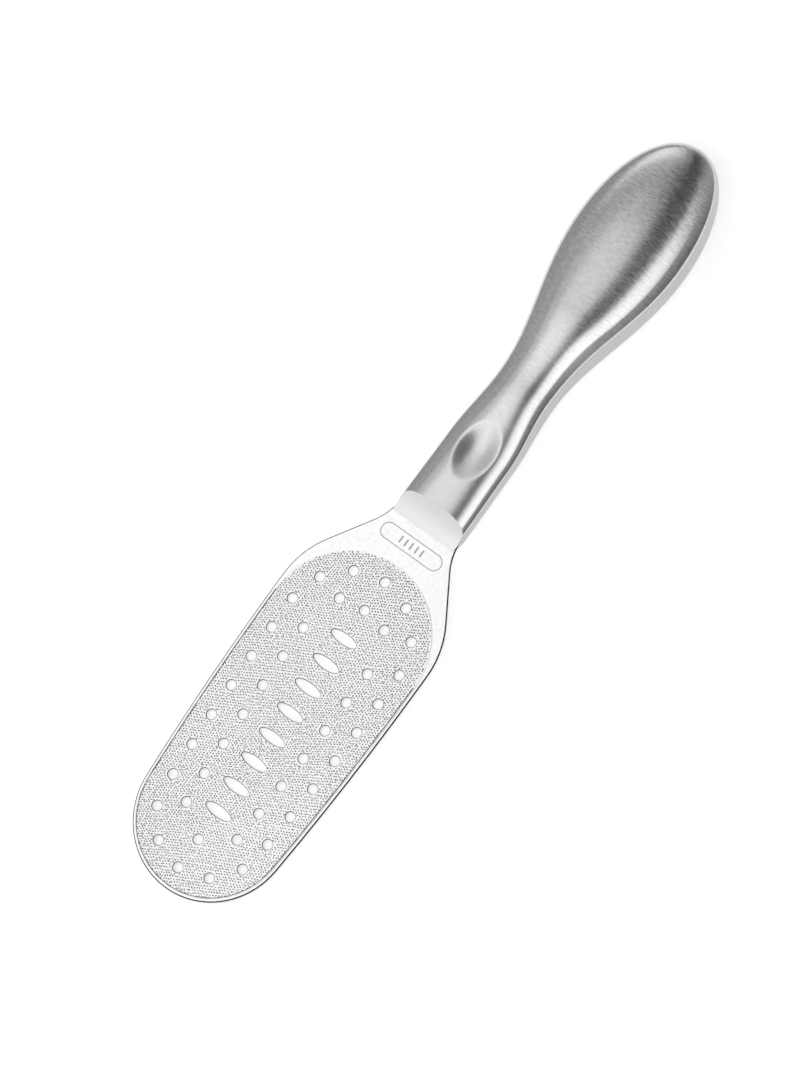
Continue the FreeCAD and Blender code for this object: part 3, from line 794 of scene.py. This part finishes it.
def make_world():
    """A grey room for the steel to mirror: darker to the right, and with a dark strip between the lamps.

    The wall beyond the paddle's tip is lighter, and everything from the horizon down is white.
    """
    world = bpy.data.worlds.new("studio")
    bpy.context.scene.world = world
    world.use_nodes = True
    tree = world.node_tree
    direction = add_node(tree, "ShaderNodeTexCoord").outputs["Generated"]
    ahead, side, up = add_node(tree, "ShaderNodeSeparateXYZ", Vector=direction).outputs
    walls = add_node(tree, "ShaderNodeValToRGB", Fac=spread(tree, side, (0.0, 1.0), (-1.0, 1.0)))
    while len(walls.color_ramp.elements) < len(SKY_WALLS):
        walls.color_ramp.elements.new(1.0)
    for element, (place, level) in zip(walls.color_ramp.elements, SKY_WALLS):
        element.position = (place + 1) / 2
        element.color = (level, level, level, 1)
    gap_middle = calculate(tree, "MULTIPLY_ADD", ahead, GAP_HEADING, GAP_MIDDLE)
    from_gap = calculate(tree, "ABSOLUTE", calculate(tree, "SUBTRACT", side, gap_middle))
    gap = spread(tree, from_gap, (GAP_LEVEL, 1.0), GAP_EDGE)
    level = calculate(tree, "MULTIPLY", walls.outputs[0], gap)
    level = mix_values(tree, spread(tree, ahead, (0.0, 1.0), TIP_EDGE), level, TIP_LEVEL)
    level = mix_values(tree, spread(tree, up, (1.0, 0.0), (0.0, HORIZON_TOP)), level, 1.0)
    tree.links.new(level, tree.nodes["Background"].inputs["Strength"])
    tree.nodes["Background"].inputs["Color"].default_value = (1, 1, 1, 1)


def place_camera():
    """A long lens above the tool, tilted towards its right side and rolled as in the photograph."""
    tilt, roll = math.radians(CAMERA_TILT), math.radians(CAMERA_ROLL)
    back = Vector((CAMERA_PITCH, -math.tan(tilt), 1)).normalized()
    up = Vector((1, 0, 0))
    up = (up - back * up.dot(back)).normalized()
    right = up.cross(back)
    top = up * math.cos(roll) - right * math.sin(roll)
    side = right * math.cos(roll) + up * math.sin(roll)
    data = bpy.data.cameras.new("camera")
    data.lens = CAMERA_LENS
    data.sensor_width = CAMERA_SENSOR
    data.clip_start, data.clip_end = CAMERA_CLIP
    camera = bpy.data.objects.new("camera", data)
    bpy.context.scene.collection.objects.link(camera)
    turn = Matrix((side, top, back)).transposed().to_4x4()
    tool_turn = TOOL.to_quaternion().to_matrix().to_4x4()
    camera.matrix_world = Matrix.Translation(TOOL @ Vector(CAMERA_PLACE)) @ tool_turn @ turn
    bpy.context.scene.camera = camera


# Making: materials and pieces

handle_steel = brushed_handle_steel()
# On the plate and the file sheets the chamfers are painted near black as shade; on the ramp only a little
# darker
plate_steel = plate_material(
    "plate_steel", steel(0.83), steel(0.86), roughness=(0.2, 0.28), grain_scale=900,
    chamfer_shade_colour=steel(0.035, 0.002), chamfer_roughness=0.7,
)
ramp_steel = plate_material(
    "ramp_steel", steel(0.84), steel(0.88), roughness=(0.4, 0.48), grain_scale=900,
    chamfer_shade_colour=steel(0.8), chamfer_roughness=0.45,
)
file_steel = plate_material(
    "file_steel", steel(0.83), steel(0.88), roughness=(0.26, 0.34), grain_scale=2500,
    chamfer_shade_colour=steel(0.06, 0.003), chamfer_roughness=0.3,
)
# The teeth are painted far darker than the sheet they stand on: painted shade that makes them read as dark
# dots
painted_shade_tooth_steel = plain_material(
    "painted_shade_tooth_steel", steel(0.2), steel(0.28), roughness=(0.26, 0.34), grain_scale=2500, metallic=1.0,
)
bond_film = plain_material(
    "bond_film", (0.55, 0.54, 0.5), (0.62, 0.61, 0.57), roughness=(0.5, 0.6), grain_scale=3000,
)
potting_resin = plain_material(
    "potting_resin", steel(0.05), steel(0.09), roughness=(0.35, 0.5), grain_scale=1200,
)
braze = plain_material(
    "braze", (0.7, 0.55, 0.3), (0.8, 0.66, 0.4), roughness=(0.3, 0.45), grain_scale=1500, metallic=1.0,
)

make_shell("front_handle", "front_handle_shell", FRONT, (handle_steel, ramp_steel))
make_shell("back_handle", "back_handle_shell", BACK, (handle_steel, ramp_steel))
wear_it(make_teeth("coarse_teeth", "coarse_file_steel", FRONT, **COARSE_TEETH), painted_shade_tooth_steel)
wear_it(make_teeth("fine_teeth", "fine_file_steel", BACK, **FINE_TEETH), painted_shade_tooth_steel)
for node, material in (
    ("blade_plate", plate_steel),
    ("coarse_file_sheet", file_steel),
    ("fine_file_sheet", file_steel),
    ("coarse_bond_film", bond_film),
    ("fine_bond_film", bond_film),
    ("tang_potting", potting_resin),
    ("seam_braze", braze),
):
    wear_it(nodes[node], material)

# Making: stage, with places and sizes of the lamps in metres and headings in degrees

make_floor()
make_world()
make_softbox("left_softbox", place=(-0.11, 0.1875, 0.6), heading=14, size=(0.48, 0.21), radiance=0.96)
make_softbox("left_edge_softbox", place=(-0.12, 0.35, 0.6), heading=14, size=(0.46, 0.12), radiance=0.4)
make_softbox("far_left_softbox", place=(2.64, 2.3, 1.6), heading=40, size=(3.4, 1.6), radiance=0.95)
make_softbox("right_softbox", place=(-0.11, -0.13, 0.6), heading=-16, size=(0.6, 0.29), radiance=1.35)
place_camera()
bpy.context.scene.view_settings.view_transform = "Standard"
